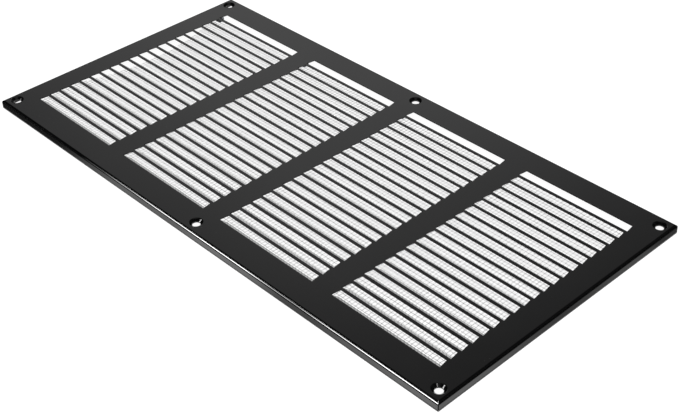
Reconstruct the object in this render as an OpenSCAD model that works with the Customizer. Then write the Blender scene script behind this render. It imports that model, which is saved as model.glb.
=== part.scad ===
// Return air grille: a pressed steel face with rows of lanced louvres and
// folded edges, a woven insect screen behind it, and the clips that hold it.
// X runs along the face, Y across it and Z out of its front. The rear rim of
// the folded edges stands on Z = 0, centred on the origin.

/* [Face] */
// Overall length, across the short folded edges
face_l = 406.4; // [250:0.1:700]
// Overall width, across the long folded edges
face_w = 203.2; // [120:0.1:400]
// Thickness of the steel sheet
sheet_t = 0.6; // [0.5:0.05:0.9]

/* [Folded edges] */
// Outside radius of the bend between the face and each edge
edge_bend_r = 1.6; // [1.2:0.1:2]
// Open seam between two edges at each corner
corner_seam = 0.3; // [0.1:0.05:0.6]

/* [Louvres] */
// Number of louvre panels side by side
panels = 4; // [1:1:6]
// Plain face between two panels, at the louvres' hinge lines
panel_gap = 15.4; // [6:0.1:30]
// Distance from one louvre to the next across the face
row_pitch = 8.33; // [7.6:0.01:12]
// Width of sheet that is lanced free for each blade
blade_w = 6.9; // [5:0.05:7]
// Angle of a blade below the face
blade_angle = 42.5; // [25:0.5:55]
// Outside radius of the bend at a blade's hinge line
blade_bend_r = 1.1; // [1:0.05:1.6]
// How much each end of a blade leans in towards its free edge
blade_taper = 1.0; // [0:0.1:2]
// Shear gap between a blade's end and the sheet beside it
shear_gap = 0.1; // [0.05:0.01:0.2]

/* [Screw holes] */
// Diameter of each screw hole
screw_hole_d = 5; // [4:0.1:6]
// Diameter of the pressed dimple where it leaves the face
dimple_d = 8.4; // [7.8:0.1:9]
// Slope of the dimple's wall below the face
dimple_angle = 40; // [30:1:45]
// Outside radius of the bend round the dimple's mouth
dimple_bend_r = 1.0; // [0.9:0.1:1.4]
// Distance from the screw holes to the short edges
hole_end_inset = 7; // [6.8:0.1:14]
// Distance from the screw holes to the long edges
hole_side_inset = 8; // [6.8:0.1:14]

/* [Insect screen] */
// Diameter of a screen wire
wire_d = 0.25; // [0.2:0.01:0.4]
// Distance between neighbouring wires
wire_pitch = 2.54; // [2:0.02:4]
// How far the screen reaches past the louvres at each short side
screen_end_cover = 9; // [4:0.5:12]
// Distance from the first hinge line in to the screen's near edge
screen_near_inset = 0.6; // [0.2:0.1:3]
// Distance from the last blade's free edge in to the screen's far edge
screen_far_inset = 0.2; // [0:0.1:2]
// How far the screen's cut edge at the left bows in between the clips
bow_depth = 14; // [0.5:0.5:16]
// Straight part of that edge next to the near corner
bow_near = 30; // [8:1:40]
// Straight part of that edge next to the far corner
bow_far = 8; // [6:1:40]
// Clearance between the blades and the screen
blade_clear = 0.05; // [0.02:0.01:0.4]

/* [Screen clips] */
// Width of a clip along the edge that it holds
clip_w = 7; // [4:0.5:10]
// Thickness of a clip
clip_t = 0.3; // [0.25:0.05:0.6]
// Outside radius of a clip's two bends
clip_bend_r = 0.7; // [0.6:0.05:1.2]
// Length of the foot that is welded to the face, with its bend
clip_foot = 5; // [4:0.1:5.4]
// Width of the screen's edge that a clip covers
clip_cover = 3.5; // [2:0.1:5]
// Gap between the screen's edge and the clip's upright
clip_gap = 0.5; // [0.45:0.05:1]
// Clearance between the screen and a clip's finger
finger_clear = 0.05; // [0.02:0.01:0.2]
// Clearance between the clips and the plane of the rear rim
rim_clear = 0.05; // [0.02:0.01:0.5]
// Clearance between a clip's foot and the screw dimples
dimple_clear = 0.7; // [0.2:0.1:2]
// Diameter of the spot weld's mark on the foot
weld_d = 2.4; // [1.6:0.1:3]
// Depth of the spot weld's mark
weld_depth = 0.1; // [0.05:0.01:0.15]

/* [Hidden] */
$fn = 48;
eps = 0.01;
plate_colour = [0.10, 0.10, 0.11];
wire_colour = [0.80, 0.81, 0.82];
clip_colour = [0.62, 0.64, 0.66];

// Overlap that joins one stretch of sheet to the next
lap = 0.3;
// How far a cutter reaches past what it cuts
past = 1;

// A blade keeps the width of sheet that was lanced for it, measured along
// the middle of the sheet
blade_run = blade_w - (blade_bend_r - sheet_t / 2) * blade_angle * PI / 180;
blade_drop = bend_fall(blade_bend_r, blade_angle)
    + blade_run * sin(blade_angle) + sheet_t * cos(blade_angle);
blade_reach = bend_reach(blade_bend_r, blade_angle)
    + blade_run * cos(blade_angle);

// Heights from the rear rim up: clip finger, screen, blades, face
screen_t = 2 * wire_d;
screen_z = rim_clear + clip_t + finger_clear;
edge_h = screen_z + screen_t + blade_clear + blade_drop;
inside_z = edge_h - sheet_t;

// Sheet pressed down round each hole, out to where it is flat again
dimple_r = dimple_d / 2 + dimple_bend_r * tan(dimple_angle / 2);
dimple_run = (dimple_r - bend_reach(dimple_bend_r, dimple_angle)
    - screw_hole_d / 2) / cos(dimple_angle) + sheet_t;

// From a screw hole's centre to the nearest louvre: the dimple and a clip
hole_to_field = dimple_r + dimple_clear + clip_foot + clip_gap - screen_near_inset;

// Louvre field, centred on the face
field_l = face_l - 2 * (hole_end_inset + hole_to_field);
slot_l = (field_l - (panels - 1) * panel_gap) / panels;
strip_w = row_pitch - blade_w;
rows = floor((face_w - 2 * (hole_side_inset + hole_to_field) + strip_w)
    / row_pitch);
field_w = rows * row_pitch - strip_w;

// Screen: a flat cloth on the blades' free edges, cut to whole steps
cut_step = 0.02;
screen_near = -field_w / 2 + screen_near_inset;
screen_l = whole(field_l + 2 * screen_end_cover);
screen_w = whole(hinge_y(rows - 1) + blade_reach - screen_far_inset - screen_near);
screen_far = screen_near + screen_w;
screen_mid = screen_near + screen_w / 2;
web_t = screen_t / 3;

// Arc of the bowed edge, cut in straight snips
bow_chord = screen_w - bow_near - bow_far;
bow_r = (pow(bow_chord / 2, 2) + pow(bow_depth, 2)) / (2 * bow_depth);
bow_snips = 12;

// Through gaps between the wires along X, in two columns. The web stays
// whole past the bow, in the middle and beside the outermost wires
gap_cols = 2;
gap_rows = 60;
gap_rim = 0.1;
gap_end = bow_depth + wire_pitch;
gap_bar = 3 * wire_pitch;
gap_l = (screen_l - 2 * gap_end - (gap_cols - 1) * gap_bar) / gap_cols;
gap_w = wire_pitch - wire_d - 2 * gap_rim;

// How far a bend of outside radius r moves the sheet on, and down
function bend_reach(r, a) = r * sin(a);
function bend_fall(r, a) = r * (1 - cos(a));

// The nearest length in whole cutting steps
function whole(v) = round(v / cut_step) * cut_step;

// Centres of the columns of gaps, and whether a wire across meets one
function gap_x(c) = (c - (gap_cols - 1) / 2) * (gap_l + gap_bar);
function in_gap(x) = min([for (c = [0:gap_cols - 1]) abs(x - gap_x(c))])
    < gap_l / 2 + wire_d / 2 + gap_rim;

// Centres of the panels and hinge lines of the rows
function panel_x(i) = (i - (panels - 1) / 2) * (slot_l + panel_gap);
function hinge_y(j) = j * row_pitch - field_w / 2;

// Section of a strip of sheet with its top on y = 0: flat for lead, then
// bent down through angle a with outside radius r, then straight for run
module bent_sheet(lead, r, a, run, t) {
    translate([-lead, -t])
        square([lead, t]);
    key(t);
    translate([0, -r])
        intersection() {
            difference() {
                circle(r);
                circle(r - t);
            }
            polygon([[0, 0], [0, 2 * r],
                [2 * r * sin(a / 2), 2 * r * cos(a / 2)],
                [2 * r * sin(a), 2 * r * cos(a)]]);
        }
    translate([bend_reach(r, a), -bend_fall(r, a)])
        rotate(-a) {
            translate([0, -t])
                square([run, t]);
            key(t);
        }
}

// Joins two stretches of sheet that meet at x = 0, inside their thickness
module key(t) {
    translate([-t / 8, -t * 3 / 4])
        square([t / 4, t / 2]);
}

// Runs a section along all four sides of a rectangle l by w, mitred at the
// corners. Section x points outwards from the rectangle, y points up. The
// sections reach from inner inside the rectangle to outer outside it.
module mitred_frame(l, w, inner, outer, seam) {
    for (side = [[0, l, w], [90, w, l], [180, l, w], [270, w, l]])
        rotate(side[0])
            intersection() {
                translate([-side[1] / 2 - outer, -side[2] / 2, 0])
                    rotate([90, 0, 90])
                        mirror([1, 0])
                            linear_extrude(side[1] + 2 * outer)
                                children();
                half_plan(side[1], side[2], inner, outer, seam);
            }
}

// The share of a mitred frame that belongs to its front side
module half_plan(l, w, inner, outer, seam) {
    shift = seam / sqrt(2);
    linear_extrude(2 * (edge_h + past), center = true)
            polygon([
                [-l / 2 - outer + shift, -w / 2 - outer],
                [l / 2 + outer - shift, -w / 2 - outer],
                [l / 2 - inner - shift, -w / 2 + inner],
                [-l / 2 + inner + shift, -w / 2 + inner]]);
}

// Plan of one lanced blade: wide at its hinge line, leaning in by taper
// over depth, and drawn in by gap at both ends
module blade_plan(depth, taper, gap, root) {
    polygon([
        [-slot_l / 2 + gap, -root],
        [slot_l / 2 - gap, -root],
        [slot_l / 2 - gap, 0],
        [slot_l / 2 - gap - taper, depth],
        [-slot_l / 2 + gap + taper, depth],
        [-slot_l / 2 + gap, 0]]);
}

// All slots, as cutters through the face
module slots() {
    for (j = [0:rows - 1], i = [0:panels - 1])
        translate([panel_x(i), hinge_y(j), inside_z - past])
            linear_extrude(sheet_t + 2 * past)
                blade_plan(blade_w, blade_taper, 0, 0);
}

// The blades of one row
module blade_row() {
    intersection() {
        translate([-field_l / 2, 0, edge_h])
            rotate([90, 0, 90])
                linear_extrude(field_l)
                    bent_sheet(lap, blade_bend_r, blade_angle, blade_run, sheet_t);
        for (i = [0:panels - 1])
            translate([panel_x(i), 0, -past])
                linear_extrude(edge_h + 2 * past)
                    blade_plan(blade_reach + eps, blade_taper, shear_gap, lap);
    }
}

// Places children on the six screw holes, with the face's top as Z = 0
module at_screw_holes() {
    x = face_l / 2 - hole_end_inset;
    y = face_w / 2 - hole_side_inset;
    for (px = [-x, 0, x], py = [-y, y])
        translate([px, py, edge_h])
            children();
}

// Sheet pressed down into a cone round a screw hole
module dimple() {
    rotate_extrude()
        intersection() {
            translate([dimple_r, 0])
                mirror([1, 0])
                    bent_sheet(lap, dimple_bend_r, dimple_angle, dimple_run, sheet_t);
            translate([screw_hole_d / 2, -edge_h])
                square([dimple_r + lap, 2 * edge_h]);
        }
}

module front_plate() {
    flat_x = face_l - 2 * edge_bend_r;
    flat_y = face_w - 2 * edge_bend_r;
    color(plate_colour) {
        difference() {
            translate([-flat_x / 2, -flat_y / 2, inside_z])
                cube([flat_x, flat_y, sheet_t]);
            slots();
            at_screw_holes()
                cylinder(h = 2 * (sheet_t + past), r = dimple_r, center = true);
        }
        at_screw_holes()
            dimple();
        for (j = [0:rows - 1])
            translate([0, hinge_y(j), 0])
                blade_row();
        translate([0, 0, edge_h])
            mitred_frame(flat_x, flat_y, lap, edge_bend_r, corner_seam / 2)
                bent_sheet(lap, edge_bend_r, 90, edge_h - edge_bend_r, sheet_t);
    }
}

// Places of the wires that fit side by side on a span, about its middle
function wire_places(span) =
    let (count = floor(span / wire_pitch))
    [for (i = [0:count - 1]) (i - (count - 1) / 2) * wire_pitch];

// Web of the screen with the wires at some places standing on it
module wire_section(span, height, places) {
    translate([-span / 2, 0])
        square([span, web_t]);
    for (x = places)
        translate([x - wire_d / 2, 0])
            square([wire_d, height]);
}

// Cutters for the gaps between neighbouring wires along X
module gaps() {
    wires = wire_places(screen_w);
    pairs = len(wires) - 1;
    used = min(gap_rows, pairs - 2);
    first = floor((pairs - used) / 2);
    for (c = [0:gap_cols - 1], j = [first:first + used - 1])
        translate([gap_x(c) - gap_l / 2, wires[j] + wire_d / 2 + gap_rim, -past])
            cube([gap_l, gap_w, screen_t + 2 * past]);
}

module insect_screen() {
    color(wire_colour)
        translate([0, screen_mid, screen_z])
            difference() {
                union() {
                    // wires along X stand up from the web
                    translate([-screen_l / 2, 0, web_t])
                        rotate([90, 0, 90])
                            linear_extrude(screen_l)
                                wire_section(screen_w, screen_t - web_t,
                                    wire_places(screen_w));
                    // wires along Y stand down from it where it is whole
                    translate([0, screen_w / 2, 2 * web_t])
                        rotate([90, 0, 0])
                            linear_extrude(screen_w)
                                mirror([0, 1])
                                    wire_section(screen_l, 2 * web_t,
                                        [for (x = wire_places(screen_l))
                                            if (!in_gap(x)) x]);
                }
                gaps();
                translate([-screen_l / 2, (bow_near - bow_far) / 2, -past])
                    linear_extrude(screen_t + 2 * past)
                        bow_plan();
            }
}

// What the bow takes from the screen's left edge, with that edge as x = 0
module bow_plan() {
    half = asin(bow_chord / 2 / bow_r);
    polygon(concat(
        [[-past, -bow_chord / 2]],
        [for (k = [0:bow_snips]) let (a = half * (2 * k / bow_snips - 1))
            [bow_depth - bow_r * (1 - cos(a)), bow_r * sin(a)]],
        [[-past, bow_chord / 2]]));
}

// Half of a clip's section: a flat stretch on y = 0, then the bend and half
// of the upright, whose far face is at x = clip_bend_r
module half_clip(flat) {
    bent_sheet(flat, clip_bend_r, 90,
        (inside_z - rim_clear + lap) / 2 - clip_bend_r, clip_t);
}

// Section of a clip: foot on y = 0, finger at the foot of the upright
module clip_section() {
    half_clip(clip_foot - clip_bend_r);
    translate([2 * clip_bend_r - clip_t, rim_clear - inside_z])
        rotate(180)
            half_clip(clip_cover + clip_gap + clip_t - clip_bend_r);
}

// A clip on a screen edge that lies on y = 0, with its finger towards +Y
module clip() {
    translate([0, -clip_gap - clip_bend_r, inside_z])
        difference() {
            translate([-clip_w / 2, 0, 0])
                rotate([90, 0, 90])
                    linear_extrude(clip_w)
                        clip_section();
            translate([0, (clip_bend_r - clip_foot) / 2, -clip_t - past])
                cylinder(h = past + weld_depth, d = weld_d);
        }
}

module screen_clips() {
    ends = (screen_l - clip_w) / 2;
    between = [for (i = [1:1:panels - 1]) (i - panels / 2) * (slot_l + panel_gap)];
    color(clip_colour)
        for (x = concat([-ends, ends], between)) {
            translate([x, screen_near, 0])
                clip();
            translate([x, screen_far, 0])
                rotate(180)
                    clip();
        }
}

front_plate();
insect_screen();
screen_clips();
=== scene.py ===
"""Looks of a louvred return air grille, laid out as an add-on and run as a script."""

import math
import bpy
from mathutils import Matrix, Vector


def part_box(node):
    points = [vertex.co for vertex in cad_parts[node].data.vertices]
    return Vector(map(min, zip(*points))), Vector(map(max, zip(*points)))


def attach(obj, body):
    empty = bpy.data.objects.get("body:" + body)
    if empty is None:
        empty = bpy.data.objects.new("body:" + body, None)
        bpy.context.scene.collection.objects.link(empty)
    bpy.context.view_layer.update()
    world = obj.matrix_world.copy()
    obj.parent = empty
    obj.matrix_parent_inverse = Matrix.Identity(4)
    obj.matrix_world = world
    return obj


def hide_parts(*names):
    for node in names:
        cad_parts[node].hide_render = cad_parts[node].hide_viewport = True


bl_info = {
    "name": "Return Air Grille",
    "version": (1, 0, 0),
    "blender": (4, 5, 0),
    "location": "View3D > Sidebar > Grille",
    "description": "Paints the pressed face, weaves the insect screen and sets the studio",
    "category": "Object",
}

import bpy
import numpy as np
from bpy.props import FloatProperty, FloatVectorProperty, IntProperty, PointerProperty
from bpy.types import Operator, Panel, PropertyGroup
from mathutils import Matrix, Vector

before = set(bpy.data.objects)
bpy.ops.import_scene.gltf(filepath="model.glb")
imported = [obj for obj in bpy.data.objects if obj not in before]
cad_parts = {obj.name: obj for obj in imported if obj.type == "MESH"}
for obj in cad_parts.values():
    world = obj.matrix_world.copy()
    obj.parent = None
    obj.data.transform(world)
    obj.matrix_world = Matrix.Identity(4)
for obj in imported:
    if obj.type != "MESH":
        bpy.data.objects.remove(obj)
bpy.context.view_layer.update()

MM = 0.001
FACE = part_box("front_plate")
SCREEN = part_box("insect_screen")
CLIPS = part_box("screen_clips")
HALF_LENGTH = FACE[1].x
HALF_WIDTH = FACE[1].y
SHEET = 0.6 * MM
PANEL_STEP = 96.868 * MM


# Settings


class PaintSettings(PropertyGroup):
    """Gloss black paint on the pressed face"""

    colour: FloatVectorProperty(
        name="Paint colour", description="Colour of the paint, without its shine",
        subtype="COLOR", size=3, min=0, max=1, default=(0.0018, 0.0018, 0.0019))
    roughness: FloatProperty(
        name="Roughness", description="Roughness of clean paint",
        subtype="FACTOR", min=0, max=1, default=0.05)
    ripple: FloatProperty(
        name="Ripple width", description="Distance between two ripples of the paint's surface",
        unit="LENGTH", min=0.0005, max=0.02, default=0.0032)
    ripple_height: FloatProperty(
        name="Ripple height", description="How high the ripples stand",
        unit="LENGTH", min=0, max=0.0001, default=0.0000015, precision=6)
    dust: FloatProperty(
        name="Dust", description="Share of the face that has caught dust",
        subtype="FACTOR", min=0, max=1, default=0.02)


class ScreenSettings(PropertyGroup):
    """Woven insect screen behind the louvres"""

    wire: FloatProperty(
        name="Wire", description="Diameter of a wire",
        unit="LENGTH", min=0.0001, max=0.0006, default=0.00025, precision=6)
    pitch: FloatProperty(
        name="Pitch", description="Distance between neighbouring wires",
        unit="LENGTH", min=0.001, max=0.006, default=0.00254, precision=5)
    bow: FloatProperty(
        name="Bow", description="How far the cut edge at the left bows in",
        unit="LENGTH", min=0.0005, max=0.016, default=0.014)
    bow_near: FloatProperty(
        name="Bow near", description="Straight part of that edge next to the near corner",
        unit="LENGTH", min=0.008, max=0.04, default=0.030)
    bow_far: FloatProperty(
        name="Bow far", description="Straight part of that edge next to the far corner",
        unit="LENGTH", min=0.006, max=0.04, default=0.008)
    sides: IntProperty(
        name="Sides", description="Sides of a wire's section", min=4, max=10, default=6)
    colour: FloatVectorProperty(
        name="Wire colour", description="Colour of the drawn wire",
        subtype="COLOR", size=3, min=0, max=1, default=(0.50, 0.505, 0.51))
    roughness: FloatProperty(
        name="Roughness", description="Roughness of the drawn wire",
        subtype="FACTOR", min=0, max=1, default=0.34)


class ClipSettings(PropertyGroup):
    """Galvanised clips that hold the screen"""

    colour: FloatVectorProperty(
        name="Zinc colour", description="Colour of the zinc on the clips",
        subtype="COLOR", size=3, min=0, max=1, default=(0.56, 0.58, 0.60))
    roughness: FloatProperty(
        name="Roughness", description="Roughness of clean zinc",
        subtype="FACTOR", min=0, max=1, default=0.32)
    spangle: FloatProperty(
        name="Spangle", description="Size of a zinc crystal",
        unit="LENGTH", min=0.0005, max=0.01, default=0.0022)


class StudioSettings(PropertyGroup):
    """Floor and light tent"""

    floor_colour: FloatVectorProperty(
        name="Floor colour", description="Colour of the floor",
        subtype="COLOR", size=3, min=0, max=1, default=(0.82, 0.82, 0.82))
    floor_radius: FloatProperty(
        name="Floor radius", description="Radius of the floor",
        unit="LENGTH", min=0.5, max=10, default=3.0)
    tent_radius: FloatProperty(
        name="Tent radius", description="Radius of the light tent round the object",
        unit="LENGTH", min=1.5, max=10, default=2.6)


# Node helpers


def put(tree, kind, at, settings=None, **sockets):
    """A node of that kind at a place in the tree, with its settings and its socket values."""
    node = tree.nodes.new(kind)
    node.location = at
    for name, value in (settings or {}).items():
        setattr(node, name, value)
    for name, value in sockets.items():
        node.inputs[name.replace("_", " ")].default_value = value
    return node


def join(tree, source, target):
    """Links an output to an input."""
    tree.links.new(source, target)


def reckon(tree, operation, at, first, second=None, third=None, clamp=False):
    """A Math node on one, two or three outputs or numbers, as its output."""
    node = tree.nodes.new("ShaderNodeMath")
    node.location = at
    node.operation = operation
    node.use_clamp = clamp
    for socket, value in zip(node.inputs, (first, second, third)):
        if value is None:
            continue
        if isinstance(value, (int, float)):
            socket.default_value = value
        else:
            join(tree, value, socket)
    return node.outputs[0]


def ramp(tree, value, at, low, high, to_low=0.0, to_high=1.0, smooth=True):
    """Maps a value from low..high to to_low..to_high, held at both ends."""
    node = tree.nodes.new("ShaderNodeMapRange")
    node.location = at
    node.interpolation_type = "SMOOTHSTEP" if smooth else "LINEAR"
    node.clamp = True
    join(tree, value, node.inputs["Value"])
    for name, number in (("From Min", low), ("From Max", high),
                         ("To Min", to_low), ("To Max", to_high)):
        if isinstance(number, (int, float)):
            node.inputs[name].default_value = number
        else:
            join(tree, number, node.inputs[name])
    return node.outputs["Result"]


def blend_colours(tree, at, mask, first, second):
    """Mixes two colours by a mask."""
    node = tree.nodes.new("ShaderNodeMix")
    node.location = at
    node.data_type = "RGBA"
    join(tree, mask, node.inputs["Factor"])
    for socket, value in ((node.inputs[6], first), (node.inputs[7], second)):
        if hasattr(value, "links"):
            join(tree, value, socket)
        else:
            socket.default_value = (*value, 1.0)
    return node.outputs[2]


def new_group(name, inputs, outputs):
    """An empty shader node group with named number sockets, and its two end nodes."""
    tree = bpy.data.node_groups.new(name, "ShaderNodeTree")
    for label, default in inputs:
        socket = tree.interface.new_socket(
            name=label, in_out="INPUT", socket_type="NodeSocketFloat")
        socket.default_value = default
    for label, kind in outputs:
        tree.interface.new_socket(name=label, in_out="OUTPUT", socket_type=kind)
    start = tree.nodes.new("NodeGroupInput")
    start.location = (-1200, 0)
    end = tree.nodes.new("NodeGroupOutput")
    end.location = (600, 0)
    return tree, start, end


def place_group(tree, group, at, **values):
    """Puts a node group in a material, with this material's own values."""
    node = tree.nodes.new("ShaderNodeGroup")
    node.node_tree = group
    node.location = at
    for name, value in values.items():
        node.inputs[name.replace("_", " ")].default_value = value
    return node


def new_material(name):
    """A material with a Principled BSDF, as (material, tree, shader)."""
    material = bpy.data.materials.new(name)
    material.use_nodes = True
    tree = material.node_tree
    shader = tree.nodes["Principled BSDF"]
    shader.location = (700, 0)
    tree.nodes["Material Output"].location = (1000, 0)
    return material, tree, shader


# Shared effects


def ripple_group():
    """Slow ripples with a finer one on them, as on sprayed paint or dipped zinc."""
    found = bpy.data.node_groups.get("Surface Ripple")
    if found:
        return found
    tree, start, end = new_group(
        "Surface Ripple", [("Density", 300.0)], [("Height", "NodeSocketFloat")])
    place = put(tree, "ShaderNodeTexCoord", (-1000, -200))
    wide = put(tree, "ShaderNodeTexNoise", (-700, 150), Detail=1.0, Roughness=0.4)
    fine = put(tree, "ShaderNodeTexNoise", (-700, -150), Detail=0.0)
    finer = reckon(tree, "MULTIPLY", (-900, -50), start.outputs["Density"], 2.7)
    for texture in (wide, fine):
        join(tree, place.outputs["Object"], texture.inputs["Vector"])
    join(tree, start.outputs["Density"], wide.inputs["Scale"])
    join(tree, finer, fine.inputs["Scale"])
    small = reckon(tree, "MULTIPLY", (-400, -150), fine.outputs["Fac"], 0.25)
    both = reckon(tree, "ADD", (-200, 0), wide.outputs["Fac"], small)
    join(tree, both, end.inputs["Height"])
    return tree


def dust_group():
    """Dust that settles on faces that look up: soft patches and single specks."""
    found = bpy.data.node_groups.get("Settled Dust")
    if found:
        return found
    tree, start, end = new_group(
        "Settled Dust", [("Amount", 0.2), ("Speck Density", 900.0)],
        [("Film", "NodeSocketFloat"), ("Specks", "NodeSocketFloat")])
    place = put(tree, "ShaderNodeTexCoord", (-1000, -200))
    facing = put(tree, "ShaderNodeNewGeometry", (-1000, 300))
    split = put(tree, "ShaderNodeSeparateXYZ", (-800, 300))
    join(tree, facing.outputs["Normal"], split.inputs[0])
    upward = ramp(tree, split.outputs["Z"], (-600, 300), 0.2, 0.95)
    patches = put(tree, "ShaderNodeTexNoise", (-700, 50), Scale=28.0, Detail=4.0)
    specks = put(tree, "ShaderNodeTexVoronoi", (-700, -250), Randomness=1.0)
    join(tree, place.outputs["Object"], patches.inputs["Vector"])
    join(tree, place.outputs["Object"], specks.inputs["Vector"])
    join(tree, start.outputs["Speck Density"], specks.inputs["Scale"])
    soft = ramp(tree, patches.outputs["Fac"], (-450, 50), 0.35, 0.75)
    film = reckon(tree, "MULTIPLY", (-200, 100), soft, upward)
    film = reckon(tree, "MULTIPLY", (0, 100), film, start.outputs["Amount"])
    join(tree, film, end.inputs["Film"])
    near = ramp(tree, specks.outputs["Distance"], (-450, -200), 0.22, 0.10)
    picked = put(tree, "ShaderNodeSeparateColor", (-450, -400))
    join(tree, specks.outputs["Color"], picked.inputs[0])
    share = reckon(tree, "MULTIPLY", (-450, -550), start.outputs["Amount"], 0.35)
    chosen = reckon(tree, "LESS_THAN", (-250, -400), picked.outputs[0], share)
    dots = reckon(tree, "MULTIPLY", (-50, -250), near, chosen)
    dots = reckon(tree, "MULTIPLY", (150, -250), dots, upward)
    join(tree, dots, end.inputs["Specks"])
    return tree


def rub_group():
    """Where hands and packing rub: the rear rim and the outer folds, broken up by noise."""
    found = bpy.data.node_groups.get("Rubbed Edges")
    if found:
        return found
    tree, start, end = new_group(
        "Rubbed Edges", [("Rim Height", 0.0004), ("Fold Reach", 0.0012), ("Strength", 0.6)],
        [("Rub", "NodeSocketFloat")])
    place = put(tree, "ShaderNodeTexCoord", (-1000, 0))
    split = put(tree, "ShaderNodeSeparateXYZ", (-800, 0))
    join(tree, place.outputs["Object"], split.inputs[0])
    rim = ramp(tree, split.outputs["Z"], (-500, -200), start.outputs["Rim Height"], 0.0)
    across_x = reckon(tree, "ABSOLUTE", (-650, 100), split.outputs["X"])
    across_y = reckon(tree, "ABSOLUTE", (-650, 250), split.outputs["Y"])
    from_x = reckon(tree, "SUBTRACT", (-500, 100), HALF_LENGTH, across_x)
    from_y = reckon(tree, "SUBTRACT", (-500, 250), HALF_WIDTH, across_y)
    corner = reckon(tree, "ADD", (-350, 180), from_x, from_y)
    tip = ramp(tree, corner, (-200, 180), start.outputs["Fold Reach"], 0.0)
    spots = put(tree, "ShaderNodeTexNoise", (-700, -450), Scale=900.0, Detail=3.0)
    join(tree, place.outputs["Object"], spots.inputs["Vector"])
    broken = ramp(tree, spots.outputs["Fac"], (-450, -450), 0.48, 0.62)
    where = reckon(tree, "MAXIMUM", (0, 0), rim, tip)
    rub = reckon(tree, "MULTIPLY", (200, 0), where, broken)
    rub = reckon(tree, "MULTIPLY", (400, 0), rub, start.outputs["Strength"])
    join(tree, rub, end.inputs["Rub"])
    return tree


# Pieces


def gloss_black(paint):
    """Gloss black paint: deep colour, a fine ripple, settled dust, a rubbed rear rim, and painted
    shade along the corner seams.
    """
    material, tree, shader = new_material("gloss_black_paint")
    shader.inputs["IOR"].default_value = 1.5
    ripple = place_group(tree, ripple_group(), (-600, -400), Density=1.0 / paint.ripple)
    dust = place_group(tree, dust_group(), (-600, 0), Amount=paint.dust,
                       Speck_Density=1100.0)
    rub = place_group(tree, rub_group(), (-600, -200))
    place = put(tree, "ShaderNodeTexCoord", (-900, 300))
    depth = put(tree, "ShaderNodeTexNoise", (-600, 300), Scale=9.0, Detail=3.0)
    join(tree, place.outputs["Object"], depth.inputs["Vector"])
    tone = ramp(tree, depth.outputs["Fac"], (-400, 300), 0.3, 0.7)
    lighter = tuple(1.25 * c for c in paint.colour)
    film_colour = (0.05, 0.049, 0.047)
    speck_colour = (0.04, 0.039, 0.037)
    rubbed_colour = (0.03, 0.03, 0.031)
    colour = blend_colours(tree, (-200, 300), tone, paint.colour, lighter)
    colour = blend_colours(tree, (0, 300), dust.outputs["Film"], colour, film_colour)
    colour = blend_colours(tree, (150, 300), dust.outputs["Specks"], colour, speck_colour)
    colour = blend_colours(tree, (300, 300), rub.outputs["Rub"], colour, rubbed_colour)
    rough = ramp(tree, depth.outputs["Fac"], (-200, 0), 0.3, 0.7,
                 paint.roughness * 0.8, paint.roughness * 1.2)
    filmed = reckon(tree, "MULTIPLY_ADD", (0, 0), dust.outputs["Film"], 0.25, rough)
    rubbed = reckon(tree, "MULTIPLY_ADD", (200, 0), rub.outputs["Rub"], 0.4, filmed, clamp=True)
    # Painted shade: along each corner seam the paint turns black, fully metallic and rough, so it
    # shows no shine
    line = painted_seam_shade(tree, place.outputs["Object"])
    dull = reckon(tree, "MAXIMUM", (350, 0), rubbed, line)
    join(tree, dull, shader.inputs["Roughness"])
    join(tree, line, shader.inputs["Metallic"])
    colour = blend_colours(tree, (450, 300), line, colour, (0.0, 0.0, 0.0))
    join(tree, colour, shader.inputs["Base Color"])
    bump = put(tree, "ShaderNodeBump", (300, -400), Strength=1.0,
               Distance=paint.ripple_height)
    join(tree, ripple.outputs["Height"], bump.inputs["Height"])
    join(tree, bump.outputs["Normal"], shader.inputs["Normal"])
    return material


def painted_seam_shade(tree, place):
    """Painted shade where the folded edges meet at a corner: black without shine, standing in for
    the dark of a seam too narrow for light to come out of.
    """
    line, line_end = 0.324 * MM, 0.468 * MM
    below_bend, bend_foot = 1.2 * MM, 0.96 * MM
    split = put(tree, "ShaderNodeSeparateXYZ", (-700, 600))
    join(tree, place, split.inputs[0])
    x = reckon(tree, "ABSOLUTE", (-500, 650), split.outputs["X"])
    y = reckon(tree, "ABSOLUTE", (-500, 500), split.outputs["Y"])
    reach = reckon(tree, "ADD", (-300, 600), x, y)
    corner = HALF_LENGTH + HALF_WIDTH
    near = ramp(tree, reach, (-100, 600), corner - line_end, corner - line)
    low = ramp(tree, split.outputs["Z"], (-100, 800), FACE[1].z - bend_foot,
               FACE[1].z - below_bend)
    return reckon(tree, "MULTIPLY", (100, 700), near, low)


def seam_shade_paint(paint):
    """The same black paint, dull and lumpy, for the fill in the corner seams: painted shade that
    stands in for the dark inside them.
    """
    lump = 0.03 * MM
    material, tree, shader = new_material("seam_shade_black_paint")
    shader.inputs["Specular IOR Level"].default_value = 0.12
    place = put(tree, "ShaderNodeTexCoord", (-900, 0))
    lumps = put(tree, "ShaderNodeTexNoise", (-600, 0), Scale=700.0, Detail=2.0)
    join(tree, place.outputs["Object"], lumps.inputs["Vector"])
    lighter = tuple(1.6 * c for c in paint.colour)
    colour = blend_colours(tree, (0, 200), lumps.outputs["Fac"], paint.colour, lighter)
    join(tree, colour, shader.inputs["Base Color"])
    rough = ramp(tree, lumps.outputs["Fac"], (0, -100), 0.3, 0.7, 0.55, 0.85)
    join(tree, rough, shader.inputs["Roughness"])
    bump = put(tree, "ShaderNodeBump", (300, -400), Strength=0.8, Distance=lump)
    join(tree, lumps.outputs["Fac"], bump.inputs["Height"])
    join(tree, bump.outputs["Normal"], shader.inputs["Normal"])
    return material


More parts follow.
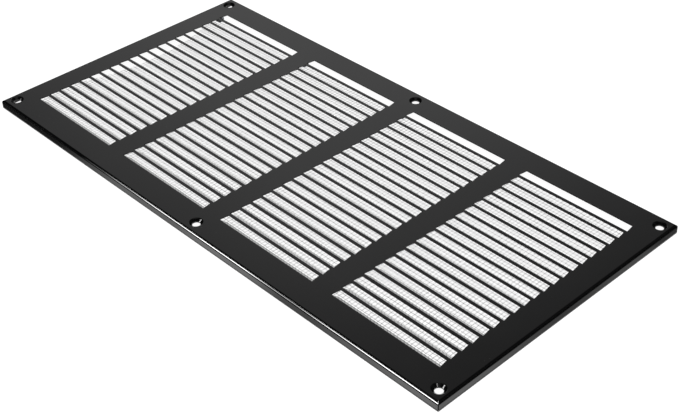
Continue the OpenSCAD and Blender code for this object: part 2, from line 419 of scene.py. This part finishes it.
def drawn_wire(screen, name, stretch, painted_light_paler=1.0):
    """Bright drawn wire: fine lines along it, and a duller tone in places. Its colour is raised by
    a paleness factor, which is painted light.
    """
    brightest, dulled, streaked = 0.9, 0.72, 0.9
    line_height = 0.004 * MM
    material, tree, shader = new_material(name)
    shader.inputs["Metallic"].default_value = 0.3
    place = put(tree, "ShaderNodeTexCoord", (-1100, 0))
    along = put(tree, "ShaderNodeMapping", (-900, 0), Scale=stretch)
    lines = put(tree, "ShaderNodeTexNoise", (-650, 0), Scale=9000.0, Detail=2.0)
    cloud = put(tree, "ShaderNodeTexNoise", (-650, -300), Scale=60.0, Detail=3.0)
    join(tree, place.outputs["Object"], along.inputs["Vector"])
    join(tree, along.outputs["Vector"], lines.inputs["Vector"])
    join(tree, place.outputs["Object"], cloud.inputs["Vector"])
    dull = ramp(tree, cloud.outputs["Fac"], (-400, -300), 0.35, 0.7)
    # Painted light: the wire's colour is made paler by a factor, held under a cap
    bright = tuple(min(brightest, painted_light_paler * c) for c in screen.colour)
    dark = tuple(dulled * c for c in bright)
    colour = blend_colours(tree, (-100, 200), dull, bright, dark)
    streak = ramp(tree, lines.outputs["Fac"], (-400, 0), 0.35, 0.65)
    colour = blend_colours(tree, (150, 200), streak, colour, tuple(streaked * c for c in bright))
    join(tree, colour, shader.inputs["Base Color"])
    rough = reckon(tree, "MULTIPLY_ADD", (-100, -100), streak, 0.12, screen.roughness)
    join(tree, rough, shader.inputs["Roughness"])
    bump = put(tree, "ShaderNodeBump", (300, -400), Strength=0.6, Distance=line_height)
    join(tree, lines.outputs["Fac"], bump.inputs["Height"])
    join(tree, bump.outputs["Normal"], shader.inputs["Normal"])
    return material


def galvanised(clips):
    """Zinc-coated strip: crystals that differ in shine, and heat marks round the spot welds."""
    heat_colour, film_colour = (0.20, 0.17, 0.15), (0.35, 0.34, 0.32)
    zinc_ripple = 0.01 * MM
    material, tree, shader = new_material("galvanised_strip")
    shader.inputs["Metallic"].default_value = 1.0
    place = put(tree, "ShaderNodeTexCoord", (-1100, 0))
    crystal = put(tree, "ShaderNodeTexVoronoi", (-800, 100), Scale=1.0 / clips.spangle)
    join(tree, place.outputs["Object"], crystal.inputs["Vector"])
    shade = put(tree, "ShaderNodeSeparateColor", (-600, 100))
    join(tree, crystal.outputs["Color"], shade.inputs[0])
    bright = tuple(min(1.0, 1.25 * c) for c in clips.colour)
    colour = blend_colours(tree, (-300, 300), shade.outputs[0], clips.colour, bright)
    heat = weld_heat(tree, place.outputs["Object"])
    colour = blend_colours(tree, (0, 300), heat, colour, heat_colour)
    dust = place_group(tree, dust_group(), (-300, 0), Amount=0.15)
    colour = blend_colours(tree, (200, 300), dust.outputs["Film"], colour, film_colour)
    join(tree, colour, shader.inputs["Base Color"])
    rough = reckon(tree, "MULTIPLY_ADD", (0, 0), shade.outputs[1], 0.22, clips.roughness)
    rough = reckon(tree, "MULTIPLY_ADD", (200, 0), heat, 0.2, rough, clamp=True)
    join(tree, rough, shader.inputs["Roughness"])
    ripple = place_group(tree, ripple_group(), (-300, -400), Density=1800.0)
    bump = put(tree, "ShaderNodeBump", (300, -400), Strength=0.5, Distance=zinc_ripple)
    join(tree, ripple.outputs["Height"], bump.inputs["Height"])
    join(tree, bump.outputs["Normal"], shader.inputs["Normal"])
    return material


def weld_heat(tree, place):
    """A ring of heat colour round each spot weld, which lie in two rows on the clips' feet."""
    weld, brightest, last = 0.9 * MM, 1.3 * MM, 2.15 * MM
    half_foot, half_clip = 2.5 * MM, 3.5 * MM
    row = (CLIPS[1].y - CLIPS[0].y) / 2 - half_foot
    middle = (CLIPS[1].y + CLIPS[0].y) / 2
    outer_clip = CLIPS[1].x - half_clip
    split = put(tree, "ShaderNodeSeparateXYZ", (-900, -600))
    join(tree, place, split.inputs[0])
    x = reckon(tree, "ABSOLUTE", (-700, -550), split.outputs["X"])
    y = reckon(tree, "SUBTRACT", (-700, -700), split.outputs["Y"], middle)
    y = reckon(tree, "ABSOLUTE", (-550, -700), y)
    dy = reckon(tree, "SUBTRACT", (-400, -700), y, row)
    yy = reckon(tree, "MULTIPLY", (-250, -700), dy, dy)
    nearest = None
    for clip in (0.0, PANEL_STEP, outer_clip):
        dx = reckon(tree, "SUBTRACT", (-400, -550), x, clip)
        reach = reckon(tree, "MULTIPLY_ADD", (-100, -600), dx, dx, yy)
        nearest = reach if nearest is None else reckon(
            tree, "MINIMUM", (50, -600), nearest, reach)
    away = reckon(tree, "SQRT", (200, -600), nearest)
    inner = ramp(tree, away, (350, -550), weld, brightest)
    outer = ramp(tree, away, (350, -750), last, brightest)
    return reckon(tree, "MULTIPLY", (500, -600), inner, outer)


def assign(piece, material):
    """Gives a mesh one material."""
    piece.data.materials.clear()
    piece.data.materials.append(material)


def wire_mesh(name, lines, axis, radius, sides):
    """One mesh of wires. Each line is (points along, heights, place across); axis is 0 or 1."""
    turn = np.arange(sides) * 2 * math.pi / sides + math.pi / sides
    ring = np.stack([np.cos(turn), np.sin(turn)], 1) * radius
    vertices, faces, first = [], [], 0
    for along, height, across in lines:
        count = len(along)
        points = np.zeros((count, sides, 3))
        points[:, :, axis] = along[:, None]
        points[:, :, 1 - axis] = across[:, None] + ring[None, :, 0]
        points[:, :, 2] = height[:, None] + ring[None, :, 1]
        vertices.append(points.reshape(-1, 3))
        index = first + np.arange(count * sides).reshape(count, sides)
        here, there = index[:-1], index[1:]
        quads = np.stack([here, np.roll(here, -1, 1), np.roll(there, -1, 1), there], 2)
        if axis == 1:
            quads = quads[:, :, ::-1]
        faces.extend(quads.reshape(-1, 4).tolist())
        start, stop = index[0].tolist(), index[-1].tolist()
        faces.append(start[::-1] if axis == 0 else start)
        faces.append(stop if axis == 0 else stop[::-1])
        first += count * sides
    mesh = bpy.data.meshes.new(name)
    mesh.from_pydata(np.concatenate(vertices).tolist(), [], faces)
    mesh.validate()
    mesh.polygons.foreach_set("use_smooth", [len(p.vertices) == 4 for p in mesh.polygons])
    mesh.update()
    piece = bpy.data.objects.new(name, mesh)
    bpy.context.scene.collection.objects.link(piece)
    return piece


def crimped(start, stop, crossings, up, radius, middle):
    """A wire's points from start to stop: over one crossing wire and under the next."""
    flat_share, end_lift = 0.17, 0.4
    flat = flat_share * (crossings[1] - crossings[0])
    inside = [(c, s) for c, s in zip(crossings, up) if start + flat < c < stop - flat]
    along, height = [], []
    for c, s in inside:
        along += [c - flat, c + flat]
        height += [middle + s * radius] * 2
    first, last = (inside[0][1], inside[-1][1]) if inside else (0, 0)
    lift = end_lift * radius
    return (np.array([start, *along, stop]),
            np.array([middle + first * lift, *height, middle + last * lift]))


def bow_arc(screen):
    """The arc of the screen's cut edge at the left, as (half its chord, radius)."""
    width = SCREEN[1].y - SCREEN[0].y
    half = (width - screen.bow_near - screen.bow_far) / 2
    return half, (half ** 2 + screen.bow ** 2) / (2 * screen.bow)


def bowed_edge(screen, offset):
    """Where the screen's cut edge at the left stands, at this distance from the bow's middle."""
    half, radius = bow_arc(screen)
    if abs(offset) >= half:
        return SCREEN[0].x
    return SCREEN[0].x + screen.bow - radius + math.sqrt(radius ** 2 - offset ** 2)


class GRILLE_OT_paint_front_plate(Operator):
    """Gives the pressed face its gloss black paint"""

    bl_idname = "grille.paint_front_plate"
    bl_label = "Paint the front plate"

    def execute(self, context):
        assign(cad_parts["front_plate"], gloss_black(context.scene.grille_paint))
        return {"FINISHED"}


class GRILLE_OT_fill_corner_seams(Operator):
    """Closes the four open corner seams with a dull black fill: painted shade that stands in for
    the dark inside them
    """

    bl_idname = "grille.fill_corner_seams"
    bl_label = "Fill the corner seams"

    def execute(self, context):
        leg, sunk, foot = 0.6 * MM, 0.12 * MM, 0.15 * MM
        vertices, faces = [], []
        for sx, sy in ((-1, -1), (1, -1), (1, 1), (-1, 1)):
            x, y = sx * (HALF_LENGTH - SHEET), sy * (HALF_WIDTH - SHEET)
            plan = [(x + sx * sunk, y + sy * sunk), (x - sx * leg, y + sy * sunk),
                    (x + sx * sunk, y - sy * leg)]
            if sx * sy < 0:
                plan.reverse()
            first = len(vertices)
            for z in (foot, FACE[1].z - SHEET):
                vertices += [(px, py, z) for px, py in plan]
            a, b, c, d, e, f = range(first, first + 6)
            faces += [(c, b, a), (d, e, f), (a, b, e, d), (b, c, f, e), (c, a, d, f)]
        # Painted shade: a dark piece in each seam, where the real seam holds only shade
        mesh = bpy.data.meshes.new("corner_seam_shade_fill")
        mesh.from_pydata(vertices, [], faces)
        piece = bpy.data.objects.new("corner_seam_shade_fill", mesh)
        context.scene.collection.objects.link(piece)
        assign(piece, seam_shade_paint(context.scene.grille_paint))
        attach(piece, "root")
        return {"FINISHED"}


class GRILLE_OT_weave_insect_screen(Operator):
    """Weaves the insect screen from single crimped wires, in the place of its solid"""

    bl_idname = "grille.weave_insect_screen"
    bl_label = "Weave the insect screen"

    def execute(self, context):
        screen = context.scene.grille_screen
        low, high = SCREEN
        middle = (low + high) / 2
        radius = screen.wire / 2
        across = int((high.x - low.x) // screen.pitch)
        along = int((high.y - low.y) // screen.pitch)
        wires_x = [(k - (across - 1) / 2) * screen.pitch for k in range(across)]
        wires_y = [middle.y + (k - (along - 1) / 2) * screen.pitch for k in range(along)]
        bow_middle = middle.y + (screen.bow_near - screen.bow_far) / 2
        seed = 16
        draw = np.random.default_rng(seed)
        ragged_left, ragged_right, spread = 0.25 * MM, 0.2 * MM, 0.02 * MM
        evened = np.ones(5) / 5
        lengthwise, crosswise = [], []
        for j, y in enumerate(wires_y):
            start = bowed_edge(screen, y - bow_middle) + draw.uniform(0, ragged_left)
            up = [(-1) ** (i + j) for i in range(across)]
            points, height = crimped(
                start, high.x - draw.uniform(0, ragged_right), wires_x, up, radius, middle.z)
            sway = draw.normal(0, spread, len(points))
            lengthwise.append((points, height, y + np.convolve(sway, evened, "same")))
        for i, x in enumerate(wires_x):
            up = [-(-1) ** (i + j) for j in range(along)]
            for start, stop in self.stretches(screen, x, bow_middle):
                points, height = crimped(start, stop, wires_y, up, radius, middle.z)
                sway = draw.normal(0, spread, len(points))
                crosswise.append((points, height, x + np.convolve(sway, evened, "same")))
        half_x, half_y = len(lengthwise) // 2, len(crosswise) // 2
        # Painted light: one wire as two copies, the lengthwise ones painted paler than the
        # crosswise ones for the highlight they catch
        lengthwise_lit_wire = drawn_wire(screen, "drawn_wire_lengthwise_lit", (0.02, 1.0, 1.0), painted_light_paler=1.9)
        crosswise_less_lit_wire = drawn_wire(screen, "drawn_wire_crosswise_less_lit", (1.0, 0.02, 1.0), painted_light_paler=1.7)
        for name, lines, axis, material in (
                ("screen_wires_lengthwise_near", lengthwise[:half_x], 0, lengthwise_lit_wire),
                ("screen_wires_lengthwise_far", lengthwise[half_x:], 0, lengthwise_lit_wire),
                ("screen_wires_crosswise_left", crosswise[:half_y], 1, crosswise_less_lit_wire),
                ("screen_wires_crosswise_right", crosswise[half_y:], 1, crosswise_less_lit_wire)):
            piece = wire_mesh(name, lines, axis, radius, screen.sides)
            assign(piece, material)
            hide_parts("insect_screen")
            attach(piece, "root")
        return {"FINISHED"}

    @staticmethod
    def stretches(screen, x, bow_middle):
        """The parts of a crosswise wire that the bowed cut leaves, as (start, stop)."""
        near, far = SCREEN[0].y, SCREEN[1].y
        inward = SCREEN[0].x + screen.bow - x
        if inward <= 0:
            return [(near, far)]
        radius = bow_arc(screen)[1]
        cut = math.sqrt(radius ** 2 - (radius - inward) ** 2)
        return [(near, bow_middle - cut), (bow_middle + cut, far)]


class GRILLE_OT_galvanise_clips(Operator):
    """Gives the screen clips their zinc and their weld marks"""

    bl_idname = "grille.galvanise_clips"
    bl_label = "Galvanise the clips"

    def execute(self, context):
        assign(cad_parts["screen_clips"], galvanised(context.scene.grille_clips))
        return {"FINISHED"}


# Stage


def white_to_the_eye(tree, at):
    """1 for rays that show the background: straight, mirrored or through glass."""
    path = put(tree, "ShaderNodeLightPath", at)
    seen = reckon(tree, "MAXIMUM", (at[0] + 200, at[1]), path.outputs["Is Camera Ray"],
                  path.outputs["Is Glossy Ray"])
    return reckon(tree, "MAXIMUM", (at[0] + 400, at[1]), seen,
                  path.outputs["Is Transmission Ray"])


def floor_material(studio):
    """White floor: white to the eye with a faint shadow, and open from beneath."""
    shadow_tone, white_glow = 0.16, 0.97
    material, tree, shader = new_material("studio_floor")
    shader.inputs["Base Color"].default_value = (*studio.floor_colour, 1)
    shader.inputs["Roughness"].default_value = 0.9
    shader.inputs["Specular IOR Level"].default_value = 0.0
    faint = put(tree, "ShaderNodeBsdfDiffuse", (400, -300), Color=(*[shadow_tone] * 3, 1))
    glow = put(tree, "ShaderNodeEmission", (400, -450), Strength=white_glow)
    both = put(tree, "ShaderNodeAddShader", (600, -350))
    join(tree, faint.outputs[0], both.inputs[0])
    join(tree, glow.outputs[0], both.inputs[1])
    seen = put(tree, "ShaderNodeMixShader", (850, -200))
    join(tree, white_to_the_eye(tree, (0, 200)), seen.inputs[0])
    join(tree, shader.outputs[0], seen.inputs[1])
    join(tree, both.outputs[0], seen.inputs[2])
    side = put(tree, "ShaderNodeNewGeometry", (850, 200))
    clear = put(tree, "ShaderNodeBsdfTransparent", (850, -400))
    sides = put(tree, "ShaderNodeMixShader", (1050, -100))
    join(tree, side.outputs["Backfacing"], sides.inputs[0])
    join(tree, seen.outputs[0], sides.inputs[1])
    join(tree, clear.outputs[0], sides.inputs[2])
    join(tree, sides.outputs[0], tree.nodes["Material Output"].inputs["Surface"])
    return material


def tent_material():
    """Light tent: pale behind at the left, at the right in front, and overhead."""
    right_x, right_y = 0.766, -0.643
    material = bpy.data.materials.new("studio_tent")
    material.use_nodes = True
    tree = material.node_tree
    tree.nodes.remove(tree.nodes["Principled BSDF"])
    place = put(tree, "ShaderNodeTexCoord", (-1400, 0))
    unit = put(tree, "ShaderNodeVectorMath", (-1200, 0), {"operation": "NORMALIZE"})
    join(tree, place.outputs["Object"], unit.inputs[0])
    split = put(tree, "ShaderNodeSeparateXYZ", (-1000, 0))
    join(tree, unit.outputs[0], split.inputs[0])
    x, y, z = split.outputs
    leftward = reckon(tree, "MULTIPLY", (-800, 200), x, -1.0)
    rise = ramp(tree, z, (-600, 500), 0.28, 0.42)
    fall = ramp(tree, z, (-600, 300), 0.50, 0.85, 0.66, 0.24)
    side = ramp(tree, leftward, (-600, 100), 0.10, 0.62, 0.08, 1.0)
    behind = ramp(tree, y, (-600, -100), 0.10, 0.50, smooth=False)
    back = reckon(tree, "MULTIPLY", (-400, 400), rise, fall)
    back = reckon(tree, "MULTIPLY", (-250, 300), back, side)
    back = reckon(tree, "MULTIPLY", (-100, 200), back, behind)
    forward = reckon(tree, "MULTIPLY", (-800, -300), y, right_y)
    right = reckon(tree, "MULTIPLY_ADD", (-600, -300), x, right_x, forward)
    front = ramp(tree, right, (-400, -300), 0.45, 0.80, 0.0, 0.5)
    above = ramp(tree, z, (-400, -500), 0.88, 0.97, 0.0, 0.35)
    level = reckon(tree, "ADD", (0, 0), back, front)
    level = reckon(tree, "ADD", (150, 0), level, above)
    glow = put(tree, "ShaderNodeEmission", (300, 0))
    join(tree, level, glow.inputs["Strength"])
    join(tree, glow.outputs[0], tree.nodes["Material Output"].inputs["Surface"])
    return material


def profile(tree, value, at, stops):
    """A level that passes smoothly through (place, level) stops, held at both ends."""
    level = stops[0][1]
    for k, (first, second) in enumerate(zip(stops, stops[1:])):
        step = ramp(tree, value, (at[0], at[1] - 180 * k), first[0], second[0],
                    0.0, second[1] - first[1])
        level = reckon(tree, "ADD", (at[0] + 200, at[1] - 180 * k), step, level)
    return level


def card_material(name, stops, axis=0, strength=1.0, fade=None, across=1, least=0.35):
    """A card whose paleness follows stops along an axis, and may fade out across it."""
    material = bpy.data.materials.new(name)
    material.use_nodes = True
    tree = material.node_tree
    tree.nodes.remove(tree.nodes["Principled BSDF"])
    place = put(tree, "ShaderNodeTexCoord", (-800, 0))
    split = put(tree, "ShaderNodeSeparateXYZ", (-600, 0))
    join(tree, place.outputs["Object"], split.inputs[0])
    level = profile(tree, split.outputs[axis], (-400, 0), stops)
    if fade:
        outer, inner, foot, touch = fade
        edge = ramp(tree, split.outputs[across], (-400, 300), outer, inner)
        shade = ramp(tree, split.outputs[across], (-400, 500), touch, foot, least, 1.0)
        level = reckon(tree, "MULTIPLY", (0, 0), level, edge)
        level = reckon(tree, "MULTIPLY", (0, 200), level, shade)
    level = reckon(tree, "MULTIPLY", (150, 0), level, strength)
    glow = put(tree, "ShaderNodeEmission", (300, 0))
    join(tree, level, glow.inputs["Strength"])
    join(tree, glow.outputs[0], tree.nodes["Material Output"].inputs["Surface"])
    return material


def card(name, low, high, material):
    """A flat card between two corners, mirrored in the paint and otherwise unseen."""
    across = (high[0], low[1], low[2])
    along = (low[0], high[1], high[2])
    mesh = bpy.data.meshes.new(name)
    mesh.from_pydata([low, across, high, along], [], [(0, 1, 2, 3)])
    piece = bpy.data.objects.new(name, mesh)
    bpy.context.scene.collection.objects.link(piece)
    assign(piece, material)
    mirrored_only(piece)
    return piece


def mirrored_only(piece):
    """Shows a stage piece in reflections alone."""
    piece.visible_camera = False
    piece.visible_diffuse = False
    piece.visible_shadow = False


def dome_mesh(name, radius, rings, sides):
    """A half sphere that stands on the floor, seen from inside."""
    rows = [[Vector((radius * math.cos(t) * math.cos(p), radius * math.cos(t) * math.sin(p),
                     radius * math.sin(t)))
             for p in (2 * math.pi * k / sides for k in range(sides))]
            for t in (math.pi / 2 * r / rings for r in range(rings))]
    vertices = [v for row in rows for v in row] + [Vector((0, 0, radius))]
    faces = []
    for r in range(rings - 1):
        for k in range(sides):
            n = (k + 1) % sides
            faces.append((r * sides + k, (r + 1) * sides + k,
                          (r + 1) * sides + n, r * sides + n))
    top = len(vertices) - 1
    last = (rings - 1) * sides
    faces += [(last + k, top, last + (k + 1) % sides) for k in range(sides)]
    mesh = bpy.data.meshes.new(name)
    mesh.from_pydata(vertices, [], faces)
    mesh.polygons.foreach_set("use_smooth", [True] * len(mesh.polygons))
    return mesh


def soft_box(name, place, width, height, power):
    """An area lamp that looks at the object's middle, and isn't mirrored in the paint."""
    lamp = bpy.data.lights.new(name, "AREA")
    lamp.shape = "RECTANGLE"
    lamp.size, lamp.size_y = width, height
    lamp.energy = power
    box = bpy.data.objects.new(name, lamp)
    box.location = place
    box.rotation_euler = (-Vector(place)).to_track_quat("-Z", "Y").to_euler()
    box.visible_glossy = False
    bpy.context.scene.collection.objects.link(box)


# Levels of the cards, as (place along the card, level)
LONG_SIDE_LEVELS = ((-0.145, 0.06), (-0.055, 0.96), (-0.02, 0.97), (0.02, 1.44), (0.048, 1.42),
                    (0.088, 0.6), (0.106, 0.6), (0.138, 1.1), (0.19, 1.6))
SHORT_SIDE_LEVELS = ((-0.09, 1.05), (0.0, 0.34), (0.055, 0.5), (0.07, 0.48), (0.09, 0.22))
WINDOW_LEVELS = ((-0.118, 0.0), (-0.095, 0.05), (-0.069, 0.25), (-0.028, 0.74), (0.012, 1.0),
                 (0.043, 0.95), (0.074, 0.28), (0.09, 0.26), (0.124, 0.7), (0.165, 1.2))
GLINT_LEVELS = ((-1.76, 0.0), (-1.62, 1.0), (-0.80, 1.0), (-0.60, 0.0))
EVEN = ((0.0, 1.0),)

# Lamps, as (name, place, width, height, power)
LAMPS = (
    ("over_lamp", (-0.3, 0.2, 1.9), 1.2, 1.2, 14.0),
    ("left_lamp", (-1.02, -1.25, 0.46), 0.30, 0.34, 5.0),
    ("near_lamp", (-0.45, -1.30, 0.46), 0.24, 0.34, 4.0),
)


class GRILLE_OT_set_studio(Operator):
    """Makes the white floor, the light tent, the cards, the lamps and the plain light all round"""

    bl_idname = "grille.set_studio"
    bl_label = "Set the studio"

    def execute(self, context):
        studio = context.scene.grille_studio
        collection = context.scene.collection
        context.scene.view_settings.view_transform = "Standard"
        floor_sides, tent_rings, tent_sides = 96, 24, 64
        rim = [(studio.floor_radius * math.cos(2 * math.pi * k / floor_sides),
                studio.floor_radius * math.sin(2 * math.pi * k / floor_sides), 0)
               for k in range(floor_sides)]
        mesh = bpy.data.meshes.new("floor")
        mesh.from_pydata(rim, [], [tuple(range(floor_sides))])
        floor = bpy.data.objects.new("floor", mesh)
        collection.objects.link(floor)
        assign(floor, floor_material(studio))
        tent = bpy.data.objects.new(
            "tent", dome_mesh("tent", studio.tent_radius, tent_rings, tent_sides))
        collection.objects.link(tent)
        assign(tent, tent_material())
        mirrored_only(tent)
        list(self.lay_cards())
        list(self.hang_cards())
        self.light_world(context)
        for lamp in LAMPS:
            soft_box(*lamp)
        return {"FINISHED"}

    @staticmethod
    def lay_cards():
        """Cards on the floor: a strip that each near edge mirrors, and dark ones beyond."""
        low, gap = 0.2 * MM, 0.4 * MM
        near, right = -HALF_WIDTH - gap, HALF_LENGTH + gap
        long_strip, long_soft = 3.6 * MM, 1.2 * MM
        short_strip, short_soft = 4.3 * MM, 2.6 * MM
        dark_end, dark_right = 0.40, 0.60
        left_end, right_end, short_end = -0.26, 0.26, 0.15
        long_side = card_material(
            "card_long_side", LONG_SIDE_LEVELS,
            fade=(near - long_strip, near - long_strip + long_soft, near - gap, near))
        short_side = card_material(
            "card_short_side", SHORT_SIDE_LEVELS, axis=1, across=0,
            fade=(right + short_strip, right + short_strip - short_soft, right + gap, right))
        dark = card_material("card_dark", EVEN, strength=0.02)
        return (
            card("card_long_side", (left_end, near - long_strip, low),
                 (right_end, near, low), long_side),
            card("card_short_side", (right, -short_end, low),
                 (right + short_strip, short_end, low), short_side),
            card("card_long_side_dark", (-dark_end, -dark_end, low),
                 (dark_end, near - long_strip, low), dark),
            card("card_short_side_dark", (right + short_strip, -HALF_WIDTH, low),
                 (dark_right, dark_end, low), dark))

    @staticmethod
    def hang_cards():
        """Bright cards: beside the near bend, far in front, and one for the near dimple."""
        beside = -HALF_WIDTH - 7.5 * MM
        foot, head = 5.0 * MM, 9.8 * MM
        front, front_foot, front_head = -1.2, 1.10, 1.27
        over = 1.19
        window = card_material("card_window", WINDOW_LEVELS, strength=44.0, across=2, least=0.0,
                               fade=(foot, foot + 0.6 * MM, head - 1.5 * MM, head))
        glint = card_material("card_glint", GLINT_LEVELS, strength=18.0, across=2, least=0.0,
                              fade=(front_foot, 1.15, 1.22, front_head))
        patch = card_material("card_patch", EVEN, strength=4.5)
        return (
            card("card_window", (-0.13, beside, foot), (0.20, beside, head), window),
            card("card_glint", (-1.80, front, front_foot), (-0.40, front, front_head), glint),
            card("card_patch", (0.98, -0.40, over), (1.22, -0.14, over), patch))

    @staticmethod
    def light_world(context):
        """A plain soft light all round, which shows white to the eye."""
        plain_level = 0.8
        world = bpy.data.worlds.new("studio_world")
        context.scene.world = world
        world.use_nodes = True
        tree = world.node_tree
        plain = tree.nodes["Background"]
        plain.inputs["Color"].default_value = (1, 1, 1, 1)
        plain.inputs["Strength"].default_value = plain_level
        white = put(tree, "ShaderNodeBackground", (0, -200), Strength=1.0)
        white.inputs["Color"].default_value = (1, 1, 1, 1)
        mix = put(tree, "ShaderNodeMixShader", (300, 0))
        join(tree, white_to_the_eye(tree, (-600, 200)), mix.inputs[0])
        join(tree, plain.outputs[0], mix.inputs[1])
        join(tree, white.outputs[0], mix.inputs[2])
        join(tree, mix.outputs[0], tree.nodes["World Output"].inputs["Surface"])


class GRILLE_OT_place_camera(Operator):
    """Puts the camera at the photograph's angle"""

    bl_idname = "grille.place_camera"
    bl_label = "Place the camera"

    def execute(self, context):
        place = Vector((0.50948, -0.44058, 0.46921))
        turn, rise, roll = (math.radians(angle) for angle in (-42.1985, 36.7561, -2.0854))
        data = bpy.data.cameras.new("camera")
        data.sensor_fit = "HORIZONTAL"
        data.sensor_width = 36.0
        data.lens = 68.65
        data.clip_start = 0.01
        camera = bpy.data.objects.new("camera", data)
        camera.matrix_world = (
            Matrix.Translation(place) @ Matrix.Rotation(math.pi / 2 + turn, 4, "Z")
            @ Matrix.Rotation(math.pi / 2 - rise, 4, "X") @ Matrix.Rotation(roll, 4, "Z"))
        context.scene.collection.objects.link(camera)
        context.scene.camera = camera
        return {"FINISHED"}


class GRILLE_PT_sidebar(Panel):
    """Lists the grille's settings and the steps that use them"""

    bl_idname = "GRILLE_PT_sidebar"
    bl_label = "Return Air Grille"
    bl_space_type = "VIEW_3D"
    bl_region_type = "UI"
    bl_category = "Grille"

    def draw(self, context):
        scene = context.scene
        for settings, names in (
                (scene.grille_paint, ("colour", "roughness", "ripple", "ripple_height", "dust")),
                (scene.grille_screen, ("wire", "pitch", "bow", "bow_near", "bow_far", "sides",
                                       "colour", "roughness")),
                (scene.grille_clips, ("colour", "roughness", "spangle")),
                (scene.grille_studio, ("floor_colour", "floor_radius", "tent_radius"))):
            box = self.layout.box()
            for name in names:
                box.prop(settings, name)
        for step in STEPS:
            self.layout.operator(step.bl_idname)


STEPS = (
    GRILLE_OT_place_camera,
    GRILLE_OT_paint_front_plate,
    GRILLE_OT_fill_corner_seams,
    GRILLE_OT_weave_insect_screen,
    GRILLE_OT_galvanise_clips,
    GRILLE_OT_set_studio,
)
SETTINGS = {
    "grille_paint": PaintSettings,
    "grille_screen": ScreenSettings,
    "grille_clips": ClipSettings,
    "grille_studio": StudioSettings,
}


def register():
    for kind in (*SETTINGS.values(), *STEPS, GRILLE_PT_sidebar):
        bpy.utils.register_class(kind)
    for name, kind in SETTINGS.items():
        setattr(bpy.types.Scene, name, PointerProperty(type=kind))


def unregister():
    for name in SETTINGS:
        delattr(bpy.types.Scene, name)
    for kind in reversed((*SETTINGS.values(), *STEPS, GRILLE_PT_sidebar)):
        bpy.utils.unregister_class(kind)


def main():
    register()
    bpy.ops.grille.place_camera()
    bpy.ops.grille.paint_front_plate()
    bpy.ops.grille.fill_corner_seams()
    bpy.ops.grille.weave_insect_screen()
    bpy.ops.grille.galvanise_clips()
    bpy.ops.grille.set_studio()


if __name__ == "__main__":
    main()
